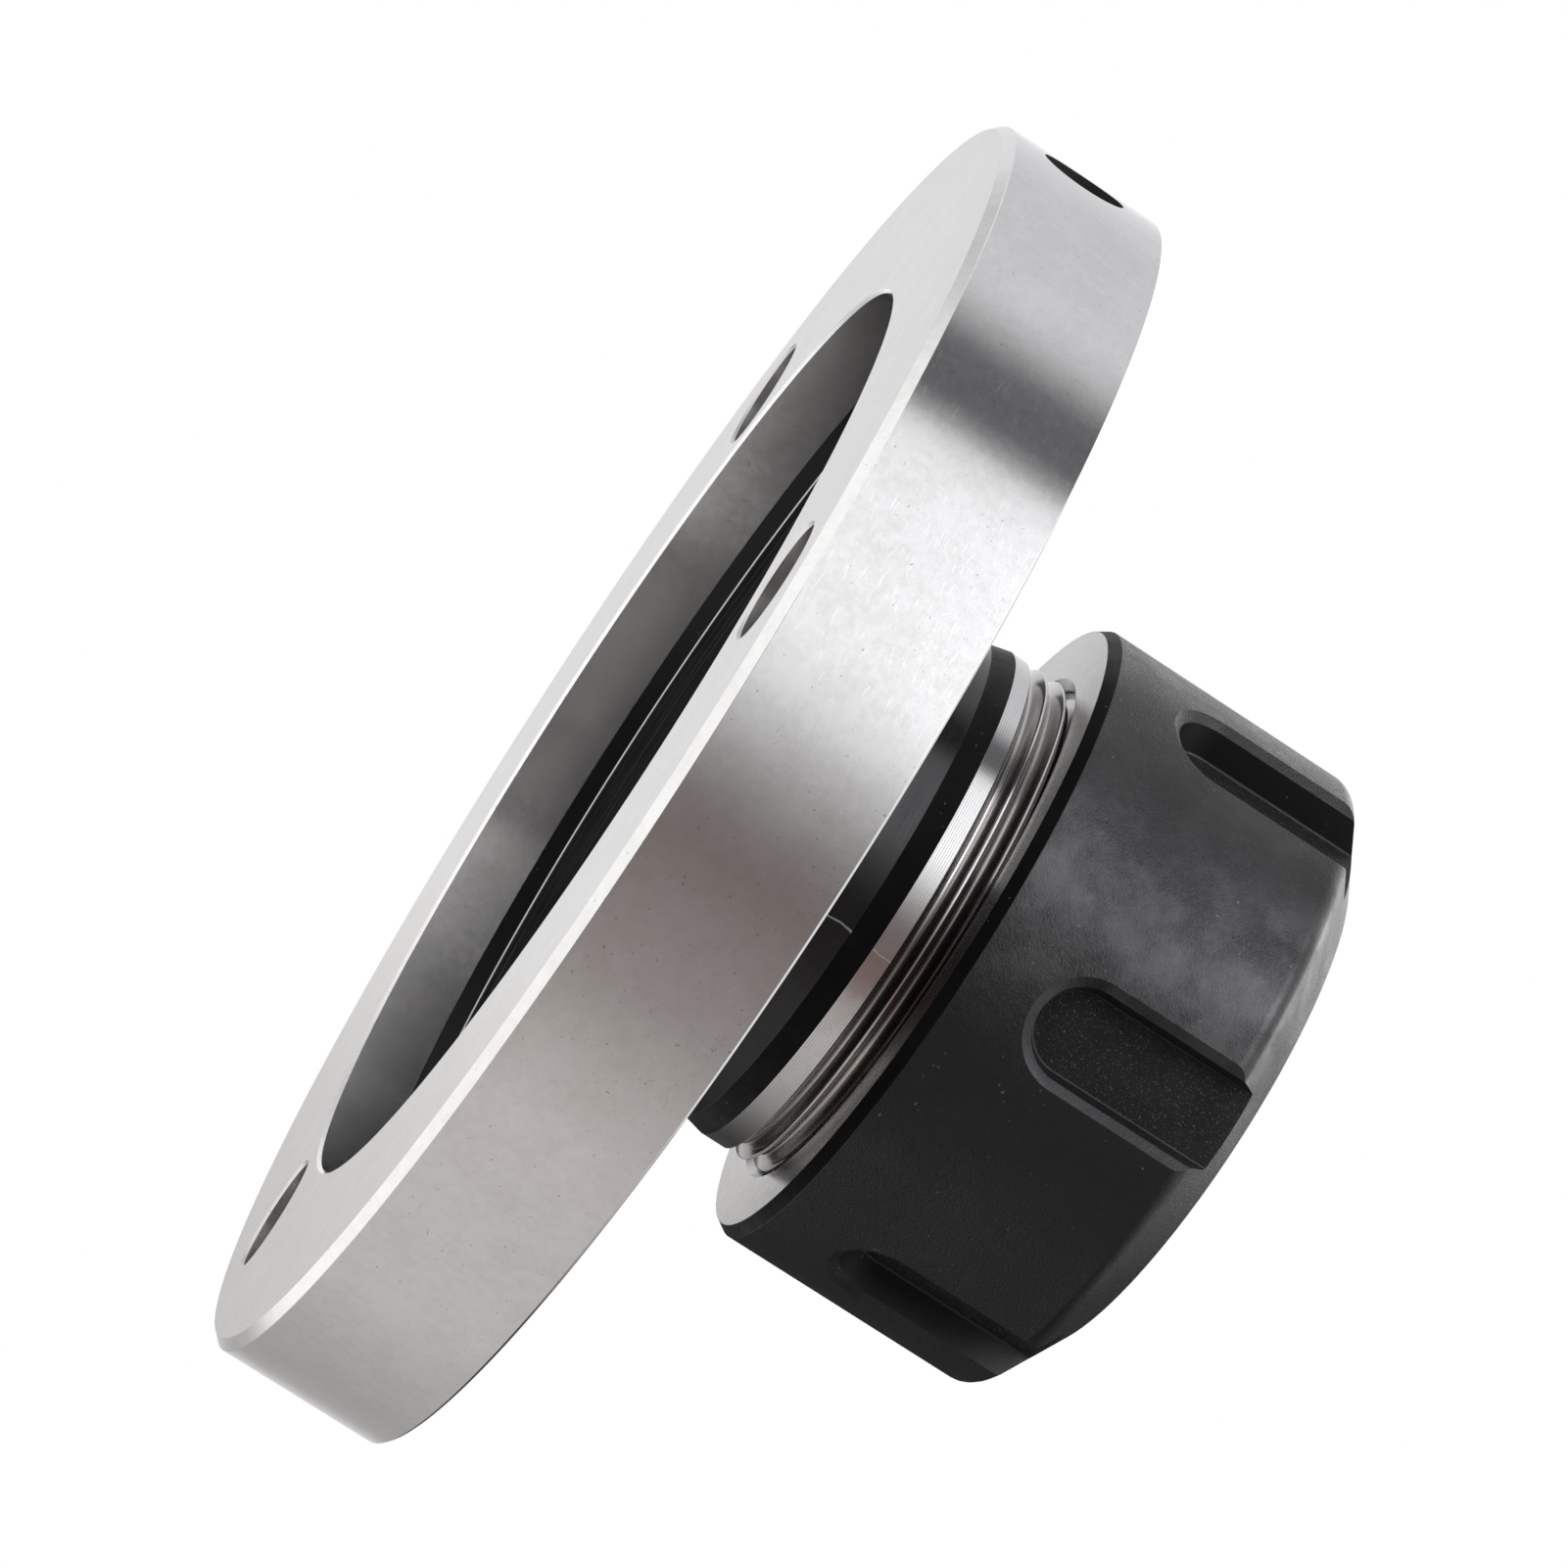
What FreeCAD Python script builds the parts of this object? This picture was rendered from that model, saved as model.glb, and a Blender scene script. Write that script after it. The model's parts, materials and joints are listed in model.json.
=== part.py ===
# A flange-mounted collet chuck: turned body, slotted clamping nut and slit spring collet.
# Millimetres. The origin is the centre of the flange's back face, and +Z runs along the
# spindle axis from that face to the nut. +X runs out through the bar hole in the rim.
import FreeCAD, Part
import math
import os

import Sketcher
from FreeCAD import Placement, Rotation, Vector

# Driving sizes, in millimetres and degrees.
SIZES = {
    # flange
    "flange_diameter": 100.0,
    "flange_thickness": 12.7,
    "flange_chamfer": 0.7,
    "front_edge_chamfer": 0.2,
    "register_diameter": 72.0,
    "register_depth": 6.35,
    "register_chamfer": 0.25,
    "bolt_inset": 8.0,
    "bolt_hole_diameter": 8.5,
    "bolt_count": 3,
    "bolt_turn": 58.5,
    "bar_hole_diameter": 6.4,
    "bar_hole_depth": 11.0,
    "bar_point_depth": 1.9,
    # neck and threaded nose
    "neck_diameter": 39.0,
    "neck_length": 6.7,
    "neck_fillet": 2.0,
    "cone_length": 1.75,
    "thread_diameter": 39.84,
    "nose_length": 29.1,
    "nose_chamfer": 1.0,
    # bore
    "taper_angle": 8.0,
    "taper_length": 24.0,
    "taper_mouth_chamfer": 0.3,
    "stock_bore_diameter": 27.0,
    "taper_clearance": 0.03,
    # nut
    "nut_diameter": 50.0,
    "nut_length": 23.5,
    "nut_gap": 13.0,
    "nut_turn": 17.6,
    "nut_back_diameter": 48.92,
    "nut_back_chamfer": 0.85,
    "nut_front_diameter": 39.3,
    "nut_bevel_length": 3.2,
    "nut_bevel_round": 1.5,
    "nut_entry_chamfer": 0.6,
    "nut_thread_length": 14.0,
    "thread_clearance": 0.05,
    "runout_diameter": 41.2,
    "runout_length": 3.2,
    "web_diameter": 34.0,
    "web_length": 1.3,
    "ring_thickness": 1.4,
    "ring_diameter": 29.8,
    "ring_offset": 0.55,
    "seat_clearance": 0.04,
    # spanner slots in the nut
    "slot_count": 6,
    "slot_width": 6.0,
    "slot_floor": 21.95,
    "slot_reach": 16.8,
    "slot_draft": 10.0,
    "slot_bevel_width": 0.7,
    "slot_bevel_depth": 0.4,
    # collet
    "collet_length": 40.0,
    "collet_diameter": 33.0,
    "collet_bore": 12.0,
    "collet_standout": 0.2,
    "head_angle": 30.0,
    "head_front_diameter": 26.8,
    "head_diameter": 30.0,
    "head_land": 0.4,
    "groove_diameter": 27.8,
    "groove_width": 2.4,
    "shoulder_length": 1.6,
    "tail_chamfer": 0.5,
    "bore_chamfer": 0.4,
    "slit_width": 0.9,
    "slit_count": 8,
    "front_slit_web": 6.0,
    "tail_slit_web": 11.0,
}

# How far a cutting outline stands clear of the solid that it cuts.
MARGIN = 2.0
PLANE_ROLES = ("XY_Plane", "XZ_Plane", "YZ_Plane")

document = FreeCAD.newDocument("collet_chuck")


def make_sheet():
    """Put every driving size in its own named cell."""
    sheet = document.addObject("Spreadsheet::Sheet", "Sizes")
    for row, (name, size) in enumerate(SIZES.items(), start=1):
        sheet.set(f"A{row}", name)
        sheet.set(f"B{row}", str(size))
        sheet.setAlias(f"B{row}", name)
    document.recompute()
    return sheet


def expand(expression):
    """Write each size's plain name as a reference to its cell."""
    words = expression.replace("(", "( ").replace(")", " )").split()
    return " ".join(f"Sizes.{word}" if word in SIZES else word for word in words)


def measure(expression):
    """Number that an expression on the sizes has now."""
    result = sheet.evalExpression(expand(expression))
    return float(getattr(result, "Value", result))


def make_body(name):
    body = document.addObject("PartDesign::Body", name)
    body.Label = name
    return body


def make_sketch(body, name, role, offset="0", turn="0", turn_axis=Vector(0, 0, 1)):
    """Sketch on one of the body's origin planes, moved along and turned about it."""
    sketch = body.newObject("Sketcher::SketchObject", name)
    plane = [item for item in body.Origin.OriginFeatures if item.Role == role][0]
    sketch.AttachmentSupport = [(plane, "")]
    sketch.MapMode = "FlatFace"
    sketch.AttachmentOffset = Placement(Vector(0, 0, 0), Rotation(turn_axis, 1.0))
    sketch.setExpression("AttachmentOffset.Base.z", expand(offset))
    sketch.setExpression("AttachmentOffset.Rotation.Angle", f"( {expand(turn)} ) * 1 deg")
    return sketch


def bind(sketch, constraint, expression):
    """Add a dimension to the sketch and tie it to the sizes."""
    index = sketch.addConstraint(constraint)
    sketch.setExpression(f"Constraints[{index}]", expand(expression))


def place_point(sketch, line, across, along):
    """Hold a line's first point at two coordinates, both zero or more."""
    if across == "0":
        sketch.addConstraint(Sketcher.Constraint("PointOnObject", line, 1, -2))
    else:
        distance = Sketcher.Constraint("DistanceX", -1, 1, line, 1, measure(across))
        bind(sketch, distance, across)
    if along == "0":
        sketch.addConstraint(Sketcher.Constraint("PointOnObject", line, 1, -1))
    else:
        distance = Sketcher.Constraint("DistanceY", -1, 1, line, 1, measure(along))
        bind(sketch, distance, along)


def draw_outline(sketch, corners):
    """Closed outline of straight lines through corners given as pairs of expressions."""
    points = [Vector(measure(across), measure(along), 0) for across, along in corners]
    for here, there in zip(points, points[1:] + points[:1]):
        sketch.addGeometry(Part.LineSegment(here, there))
    for line in range(len(points)):
        following = (line + 1) % len(points)
        sketch.addConstraint(Sketcher.Constraint("Coincident", line, 2, following, 1))
    for line, (across, along) in enumerate(corners):
        place_point(sketch, line, across, along)


def revolve(body, name, corners):
    """Turned solid from a half section of (radius, height) corners."""
    sketch = make_sketch(body, f"{name}_section", "XZ_Plane")
    draw_outline(sketch, corners)
    turned = body.newObject("PartDesign::Revolution", name)
    turned.Profile = sketch
    turned.ReferenceAxis = (sketch, ["V_Axis"])
    turned.Angle = 360.0
    document.recompute()
    return turned


def cut_straight(body, name, sketch, length=None, outward=False, symmetric=False, taper=None):
    """Pocket from a sketch, through everything where no length is given."""
    pocket = body.newObject("PartDesign::Pocket", name)
    pocket.Profile = sketch
    pocket.Type = 1 if length is None else 0
    pocket.Reversed = outward
    if symmetric:
        pocket.SideType = "Symmetric"
    if length is not None:
        pocket.setExpression("Length", expand(length))
    if taper is not None:
        pocket.setExpression("TaperAngle", f"( {expand(taper)} ) * 1 deg")
    document.recompute()
    return pocket


def repeat_round(body, name, originals, count):
    """Copies of cuts, evenly round the spindle axis."""
    axis = [item for item in body.Origin.OriginFeatures if item.Role == "Z_Axis"][0]
    pattern = body.newObject("PartDesign::PolarPattern", name)
    pattern.Originals = originals
    pattern.Axis = (axis, [""])
    pattern.Angle = 360.0
    pattern.setExpression("Occurrences", expand(count))
    body.Tip = pattern
    document.recompute()
    return pattern


def round_edge(body, name, base, radius, height, size):
    """Fillet on the turned edge that lies at a radius and a height."""
    wanted = (measure(radius), measure(height))
    found = []
    for number, edge in enumerate(base.Shape.Edges, start=1):
        curve = edge.Curve
        if not isinstance(curve, Part.Circle):
            continue
        if abs(curve.Radius - wanted[0]) < 1e-4 and abs(curve.Center.z - wanted[1]) < 1e-4:
            found.append(f"Edge{number}")
    fillet = body.newObject("PartDesign::Fillet", name)
    fillet.Base = (base, found)
    fillet.setExpression("Radius", expand(size))
    body.Tip = fillet
    document.recompute()
    return fillet


def lift(body, height, turn="0"):
    """Stand a body at a height on the spindle axis and turn it about that axis."""
    body.Placement = Placement(Vector(0, 0, 0), Rotation(Vector(0, 0, 1), 1.0))
    body.setExpression("Placement.Base.z", expand(height))
    body.setExpression("Placement.Rotation.Angle", f"( {expand(turn)} ) * 1 deg")


# Heights on the spindle axis that more than one piece shares.
NECK_TOP = "( flange_thickness + neck_length )"
NOSE_BACK = f"( {NECK_TOP} + cone_length )"
NOSE_FACE = "( flange_thickness + nose_length )"
NUT_BACK = "( flange_thickness + nut_gap )"
NUT_FACE = f"( {NUT_BACK} + nut_length )"
COLLET_FACE = f"( {NUT_FACE} + collet_standout )"
COLLET_TAIL = f"( {COLLET_FACE} - collet_length )"
TAPER_SLOPE = "tan( taper_angle * 1 deg )"
HEAD_SLOPE = "tan( head_angle * 1 deg )"

# The collet's own heights, from its tail at zero to its face.
HEAD_BACK = f"( collet_length - ( head_diameter - head_front_diameter ) / 2 / {HEAD_SLOPE} )"
GROOVE_FRONT = f"( {HEAD_BACK} - head_land )"
GROOVE_BACK = f"( {GROOVE_FRONT} - groove_width )"
GAUGE_PLANE = f"( {GROOVE_BACK} - shoulder_length )"


def taper_radius(height):
    """Radius of the collet's long taper at a height on the spindle axis."""
    drop = f"( {COLLET_TAIL} + {GAUGE_PLANE} - {height} )"
    return f"( collet_diameter / 2 - {drop} * {TAPER_SLOPE} )"


def make_chuck_body():
    """Flange, neck, threaded nose and taper bore, turned from one piece."""
    body = make_body("chuck_body")
    rim = "flange_diameter / 2"
    register = "register_diameter / 2"
    taper_end = f"( {NOSE_FACE} - taper_length )"
    taper_small = f"{taper_radius(taper_end)} + taper_clearance"
    mouth_depth = f"( {NOSE_FACE} - taper_mouth_chamfer )"
    taper_mouth = f"{taper_radius(mouth_depth)} + taper_clearance"
    section = [
        (f"{register} + register_chamfer", "0"),
        (f"{rim} - flange_chamfer", "0"),
        (rim, "flange_chamfer"),
        (rim, "flange_thickness - front_edge_chamfer"),
        (f"{rim} - front_edge_chamfer", "flange_thickness"),
        ("neck_diameter / 2", "flange_thickness"),
        ("neck_diameter / 2", NECK_TOP),
        ("thread_diameter / 2", NOSE_BACK),
        ("thread_diameter / 2", f"{NOSE_FACE} - nose_chamfer"),
        ("thread_diameter / 2 - nose_chamfer", NOSE_FACE),
        (f"{taper_mouth} + taper_mouth_chamfer", NOSE_FACE),
        (taper_mouth, mouth_depth),
        (taper_small, taper_end),
        ("stock_bore_diameter / 2", taper_end),
        ("stock_bore_diameter / 2", "register_depth"),
        (register, "register_depth"),
        (register, "register_chamfer"),
    ]
    turned = revolve(body, "body_turning", section)
    neck_root = round_edge(body, "neck_root", turned, "neck_diameter / 2",
                           "flange_thickness", "neck_fillet")

    bolt_sketch = make_sketch(body, "bolt_hole_outline", "XY_Plane", turn="bolt_turn")
    bolt_distance = f"{rim} - bolt_inset"
    bolt_sketch.addGeometry(Part.Circle(Vector(measure(bolt_distance), 0, 0), Vector(0, 0, 1),
                                        measure("bolt_hole_diameter / 2")))
    bolt_sketch.addConstraint(Sketcher.Constraint("PointOnObject", 0, 3, -1))
    bind(bolt_sketch, Sketcher.Constraint("DistanceX", -1, 1, 0, 3, measure(bolt_distance)),
         bolt_distance)
    bind(bolt_sketch, Sketcher.Constraint("Diameter", 0, measure("bolt_hole_diameter")),
         "bolt_hole_diameter")
    bolt_hole = cut_straight(body, "bolt_hole", bolt_sketch, outward=True)
    repeat_round(body, "bolt_holes", [bolt_hole], "bolt_count")

    # The bar hole is drilled from the rim towards the axis, and keeps its drill point.
    bar_sketch = make_sketch(body, "bar_hole_section", "XY_Plane", offset="flange_thickness / 2")
    bar_end = f"{rim} - bar_hole_depth"
    draw_outline(bar_sketch, [
        (f"{bar_end} - bar_point_depth", "0"),
        (f"{rim} + {MARGIN}", "0"),
        (f"{rim} + {MARGIN}", "bar_hole_diameter / 2"),
        (bar_end, "bar_hole_diameter / 2"),
    ])
    bar_hole = body.newObject("PartDesign::Groove", "bar_hole")
    bar_hole.Profile = bar_sketch
    bar_hole.ReferenceAxis = (bar_sketch, ["H_Axis"])
    bar_hole.Angle = 360.0
    body.Tip = bar_hole
    document.recompute()
    return body, [(turned, neck_root, 1), (neck_root, bar_hole, -1)]


def draw_slot(sketch, half_width, centre):
    """U outline that is round at its back end and runs out past the nut's front face."""
    radius = measure(half_width)
    middle = measure(centre)
    top = measure(f"nut_length + {MARGIN}")
    arc_circle = Part.Circle(Vector(0, middle, 0), Vector(0, 0, 1), radius)
    sketch.addGeometry(Part.ArcOfCircle(arc_circle, math.pi, 2 * math.pi))
    sketch.addGeometry(Part.LineSegment(Vector(radius, middle, 0), Vector(radius, top, 0)))
    sketch.addGeometry(Part.LineSegment(Vector(radius, top, 0), Vector(-radius, top, 0)))
    sketch.addGeometry(Part.LineSegment(Vector(-radius, top, 0), Vector(-radius, middle, 0)))
    sketch.addConstraint(Sketcher.Constraint("PointOnObject", 0, 3, -2))
    sketch.addConstraint(Sketcher.Constraint("Tangent", 0, 2, 1, 1))
    sketch.addConstraint(Sketcher.Constraint("Coincident", 1, 2, 2, 1))
    sketch.addConstraint(Sketcher.Constraint("Coincident", 2, 2, 3, 1))
    sketch.addConstraint(Sketcher.Constraint("Tangent", 3, 2, 0, 1))
    sketch.addConstraint(Sketcher.Constraint("Vertical", 1))
    sketch.addConstraint(Sketcher.Constraint("Horizontal", 2))
    bind(sketch, Sketcher.Constraint("DistanceY", -1, 1, 0, 3, middle), centre)
    bind(sketch, Sketcher.Constraint("Radius", 0, radius), half_width)
    bind(sketch, Sketcher.Constraint("DistanceY", -1, 1, 1, 2, top), f"nut_length + {MARGIN}")


def make_clamping_nut():
    """Nut with its thread bore, off-centre pull ring, front seat and spanner slots."""
    body = make_body("clamping_nut")
    outer = "nut_diameter / 2"
    bore = "( thread_diameter / 2 + thread_clearance )"
    runout_end = "( nut_thread_length + runout_length )"
    ring_back = f"( {runout_end} + web_length )"
    ring_front = f"( {ring_back} + ring_thickness )"
    # The seat follows the collet's front cone with a running clearance all round.
    seat_at_face = f"( head_front_diameter / 2 + collet_standout * {HEAD_SLOPE} + seat_clearance )"
    seat_at_ring = f"( {seat_at_face} + ( nut_length - {ring_front} ) * {HEAD_SLOPE} )"
    ring_blank = "( ring_diameter / 2 - ring_offset - ring_thickness / 2 )"
    section = [
        (f"{bore} + nut_entry_chamfer", "0"),
        ("nut_back_diameter / 2", "0"),
        (outer, "nut_back_chamfer"),
        (outer, "nut_length - nut_bevel_length"),
        ("nut_front_diameter / 2", "nut_length"),
        (seat_at_face, "nut_length"),
        (seat_at_ring, ring_front),
        (ring_blank, ring_front),
        (ring_blank, ring_back),
        ("web_diameter / 2", ring_back),
        ("web_diameter / 2", runout_end),
        ("runout_diameter / 2", runout_end),
        ("runout_diameter / 2", "nut_thread_length"),
        (bore, "nut_thread_length"),
        (bore, "nut_entry_chamfer"),
    ]
    turned = revolve(body, "nut_turning", section)
    rounded = round_edge(body, "bevel_round", turned, outer,
                         "nut_length - nut_bevel_length", "nut_bevel_round")

    # The ring is bored off centre, so that its near side hooks into the collet's groove.
    ring_sketch = make_sketch(body, "ring_outline", "XY_Plane", offset=ring_front)
    ring_sketch.addGeometry(Part.Circle(Vector(measure("ring_offset"), 0, 0), Vector(0, 0, 1),
                                        measure("ring_diameter / 2")))
    ring_sketch.addConstraint(Sketcher.Constraint("PointOnObject", 0, 3, -1))
    bind(ring_sketch, Sketcher.Constraint("DistanceX", -1, 1, 0, 3, measure("ring_offset")),
         "ring_offset")
    bind(ring_sketch, Sketcher.Constraint("Diameter", 0, measure("ring_diameter")),
         "ring_diameter")
    ring_bore = cut_straight(body, "ring_bore", ring_sketch, length="ring_thickness")

    # Each slot has a flat floor, drafted walls, and a shallow bevel at their top.
    slot_middle = "( nut_length - slot_reach + slot_width / 2 )"
    slot_sketch = make_sketch(body, "slot_outline", "YZ_Plane", offset="slot_floor")
    draw_slot(slot_sketch, "slot_width / 2", slot_middle)
    slot_cut = cut_straight(body, "slot_cut", slot_sketch, outward=True,
                            length=f"{outer} - slot_floor + {MARGIN}", taper="slot_draft")
    slot_edge = f"( sqrt( ( {outer} ) ^ 2 - ( slot_width / 2 + slot_bevel_width ) ^ 2 ) )"
    bevel_floor = f"( {slot_edge} - slot_bevel_depth )"
    wall_top = f"( slot_width / 2 + ( {bevel_floor} - slot_floor ) * tan( slot_draft * 1 deg ) )"
    bevel_sketch = make_sketch(body, "bevel_outline", "YZ_Plane", offset=bevel_floor)
    draw_slot(bevel_sketch, wall_top, slot_middle)
    bevel_cut = cut_straight(body, "slot_bevel_cut", bevel_sketch, outward=True,
                             length="2 * slot_bevel_depth",
                             taper="atan( slot_bevel_width / slot_bevel_depth ) / 1 deg")
    slots = repeat_round(body, "spanner_slots", [slot_cut, bevel_cut], "slot_count")
    lift(body, NUT_BACK, "nut_turn")
    return body, [(turned, rounded, -1), (rounded, ring_bore, -1), (ring_bore, slot_cut, -1),
                  (slot_cut, bevel_cut, -1), (bevel_cut, slots, -1)]


def make_collet():
    """Spring collet: long taper, snap groove, front cone and slits from both ends."""
    body = make_body("collet")
    tail_radius = f"( collet_diameter / 2 - {GAUGE_PLANE} * {TAPER_SLOPE} )"
    bore = "collet_bore / 2"
    section = [
        (f"{bore} + bore_chamfer", "0"),
        (f"{tail_radius} - tail_chamfer", "0"),
        (f"{tail_radius} + tail_chamfer * {TAPER_SLOPE}", "tail_chamfer"),
        ("collet_diameter / 2", GAUGE_PLANE),
        ("groove_diameter / 2", GROOVE_BACK),
        ("groove_diameter / 2", GROOVE_FRONT),
        ("head_diameter / 2", GROOVE_FRONT),
        ("head_diameter / 2", HEAD_BACK),
        ("head_front_diameter / 2", "collet_length"),
        (f"{bore} + bore_chamfer", "collet_length"),
        (bore, "collet_length - bore_chamfer"),
        (bore, "bore_chamfer"),
    ]
    turned = revolve(body, "collet_turning", section)

    reach = f"collet_diameter / 2 + {MARGIN}"
    front_sketch = make_sketch(body, "front_slit_outline", "XZ_Plane")
    draw_outline(front_sketch, [
        ("0", "front_slit_web"),
        (reach, "front_slit_web"),
        (reach, f"collet_length + {MARGIN}"),
        ("0", f"collet_length + {MARGIN}"),
    ])
    front_slit = cut_straight(body, "front_slit", front_sketch, length="slit_width",
                              symmetric=True)
    front_slits = repeat_round(body, "front_slits", [front_slit], "slit_count")

    # The tail slits lie halfway between the front ones.
    tail_sketch = make_sketch(body, "tail_slit_outline", "XZ_Plane", turn="180 / slit_count",
                              turn_axis=Vector(0, 1, 0))
    draw_outline(tail_sketch, [
        ("0", "0"),
        (reach, "0"),
        (reach, "collet_length - tail_slit_web"),
        ("0", "collet_length - tail_slit_web"),
    ])
    tail_slit = cut_straight(body, "tail_slit", tail_sketch, length="slit_width", symmetric=True)
    tail_slits = repeat_round(body, "tail_slits", [tail_slit], "slit_count")
    lift(body, COLLET_TAIL)
    return body, [(turned, front_slit, -1), (front_slit, front_slits, -1),
                  (front_slits, tail_slit, -1), (tail_slit, tail_slits, -1)]


def check_steps(steps):
    """Each step has to add material where it should, or take it away."""
    for before, after, direction in steps:
        change = after.Shape.Volume - before.Shape.Volume
        if change * direction <= 0:
            raise RuntimeError(f"{after.Label} changes the volume by {change:.3f}")


def check_document():
    for item in document.Objects:
        if "Invalid" in item.State or "Error" in item.State:
            raise RuntimeError(f"{item.Label} is {item.State}")


def export(body):
    shape = body.Shape
    if shape.isNull() or not shape.isValid() or len(shape.Solids) != 1:
        raise RuntimeError(f"{body.Label} isn't one valid solid")
    shape.exportStep(os.path.join("parts", f"{body.Label}.step"))
    print(f"{body.Label}: {shape.Volume / 1000:.2f} cm3, {len(shape.Faces)} faces")


sheet = make_sheet()
makers = (make_chuck_body, make_clamping_nut, make_collet)
made = [maker() for maker in makers]
document.recompute()
check_document()
for piece, piece_steps in made:
    check_steps(piece_steps)
os.makedirs("parts", exist_ok=True)
for piece, piece_steps in made:
    export(piece)
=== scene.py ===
import json
import math
import bmesh
import bpy
from mathutils import Euler, Matrix, Vector

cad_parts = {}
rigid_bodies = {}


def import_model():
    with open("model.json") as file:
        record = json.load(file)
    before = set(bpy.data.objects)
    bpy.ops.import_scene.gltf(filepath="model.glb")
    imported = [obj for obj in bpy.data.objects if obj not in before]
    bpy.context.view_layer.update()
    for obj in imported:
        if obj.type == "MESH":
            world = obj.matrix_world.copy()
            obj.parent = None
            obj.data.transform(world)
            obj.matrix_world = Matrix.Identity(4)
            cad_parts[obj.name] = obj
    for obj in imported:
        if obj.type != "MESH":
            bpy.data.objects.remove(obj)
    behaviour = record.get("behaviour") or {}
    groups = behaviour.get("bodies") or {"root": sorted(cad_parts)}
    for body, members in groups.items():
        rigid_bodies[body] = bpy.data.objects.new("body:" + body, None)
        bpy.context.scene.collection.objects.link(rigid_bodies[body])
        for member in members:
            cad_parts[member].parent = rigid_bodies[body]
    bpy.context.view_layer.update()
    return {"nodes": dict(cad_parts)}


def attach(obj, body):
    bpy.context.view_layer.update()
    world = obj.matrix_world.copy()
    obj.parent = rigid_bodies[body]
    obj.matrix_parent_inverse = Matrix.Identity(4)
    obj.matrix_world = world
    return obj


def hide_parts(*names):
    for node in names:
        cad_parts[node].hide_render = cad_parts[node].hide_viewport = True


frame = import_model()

# A flange-mounted collet chuck: turned body, slotted clamping nut and slit spring collet.
# The model is in metres. Sizes in the dictionaries are millimetres and degrees.
mm = 0.001
scene = bpy.context.scene
print("frame loaded:", sorted(frame["nodes"]))


# Meshes

arcStep = 15.0  # degrees between the points of a rounded corner


def roundAngles(count):
    return [2 * math.pi * step / count for step in range(count)]


def easeCorners(corners):  # closed outline of (radius, height, rounding) to plain points
    points = []
    for index, (radius, height, easing) in enumerate(corners):
        here = Vector((radius, height))
        if easing == 0:
            points.append(here)
            continue
        back = (Vector(corners[index - 1][:2]) - here).normalized()
        ahead = (Vector(corners[(index + 1) % len(corners)][:2]) - here).normalized()
        half = back.angle(ahead) / 2
        reach = easing / math.tan(half)
        centre = here + (back + ahead).normalized() * easing / math.sin(half)
        first = here + back * reach - centre
        sweep = first.angle_signed(here + ahead * reach - centre)
        steps = max(2, round(abs(math.degrees(sweep)) / arcStep))
        for step in range(steps + 1):
            points.append(centre + Matrix.Rotation(-sweep * step / steps, 2) @ first)
    return points


def plainRow(point):  # one ring of a turned surface
    return lambda angle: (point[0], point[1])


def newObject(name, bm):
    mesh = bpy.data.meshes.new(name)
    bm.to_mesh(mesh)
    bm.free()
    piece = bpy.data.objects.new(name, mesh)
    scene.collection.objects.link(piece)
    return piece


def turnedMesh(name, rows, columns, threadSpan=None, rowsPerTurn=0):
    # rows give (radius, height) at an angle; in the thread span they climb one turn per round
    bm = bmesh.new()
    grid = []
    for row in rows:
        ring = []
        for angle in roundAngles(columns):
            radius, height = row(angle)
            ring.append(bm.verts.new((radius * mm * math.cos(angle),
                                      radius * mm * math.sin(angle), height * mm)))
        grid.append(ring)
    for index in range(len(rows)):
        after = (index + 1) % len(rows)
        climbs = threadSpan and threadSpan[0] <= index < threadSpan[1]
        for column in range(columns):
            nextColumn = (column + 1) % columns
            low, high = index, after
            if climbs and nextColumn == 0:
                low = min(index + rowsPerTurn, threadSpan[1])
                high = min(after + rowsPerTurn, threadSpan[1])
            corners = [grid[index][column], grid[low][nextColumn],
                       grid[high][nextColumn], grid[after][column]]
            if len(set(corners)) == 4:
                bm.faces.new(corners)
            elif len(set(corners)) == 3:
                bm.faces.new(list(dict.fromkeys(corners)))
    bmesh.ops.remove_doubles(bm, verts=bm.verts, dist=1e-8)
    loose = [vertex for vertex in bm.verts if not vertex.link_faces]
    bmesh.ops.delete(bm, geom=loose, context="VERTS")
    bmesh.ops.recalc_face_normals(bm, faces=bm.faces)
    return newObject(name, bm)


def loftedMesh(name, loops):  # closed solid through loops of points, in millimetres
    bm = bmesh.new()
    ringSheen = [[bm.verts.new(Vector(point) * mm) for point in loop] for loop in loops]
    for low, high in zip(ringSheen, ringSheen[1:]):
        for index in range(len(low)):
            after = (index + 1) % len(low)
            bm.faces.new([low[index], low[after], high[after], high[index]])
    bm.faces.new(ringSheen[0])
    bm.faces.new(ringSheen[-1])
    bmesh.ops.recalc_face_normals(bm, faces=bm.faces)
    return newObject(name, bm)


def joinAll(name, pieces):
    bm = bmesh.new()
    for piece in pieces:
        piece.data.transform(piece.matrix_world)
        bm.from_mesh(piece.data)
        bpy.data.objects.remove(piece)
    return newObject(name, bm)


def turnedCopies(piece, count):  # copies evenly round the spindle axis
    copies = []
    for index in range(count):
        copy = bpy.data.objects.new(piece.name, piece.data.copy())
        scene.collection.objects.link(copy)
        turn = math.radians(360.0 * index / count)
        copy.data.transform(Matrix.Rotation(turn, 4, "Z"))
        copies.append(copy)
    bpy.data.objects.remove(piece)
    return copies


def applyModifiers(piece):
    result = piece.evaluated_get(bpy.context.evaluated_depsgraph_get())
    settled = bpy.data.meshes.new_from_object(result)
    piece.modifiers.clear()
    piece.data = settled


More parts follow.
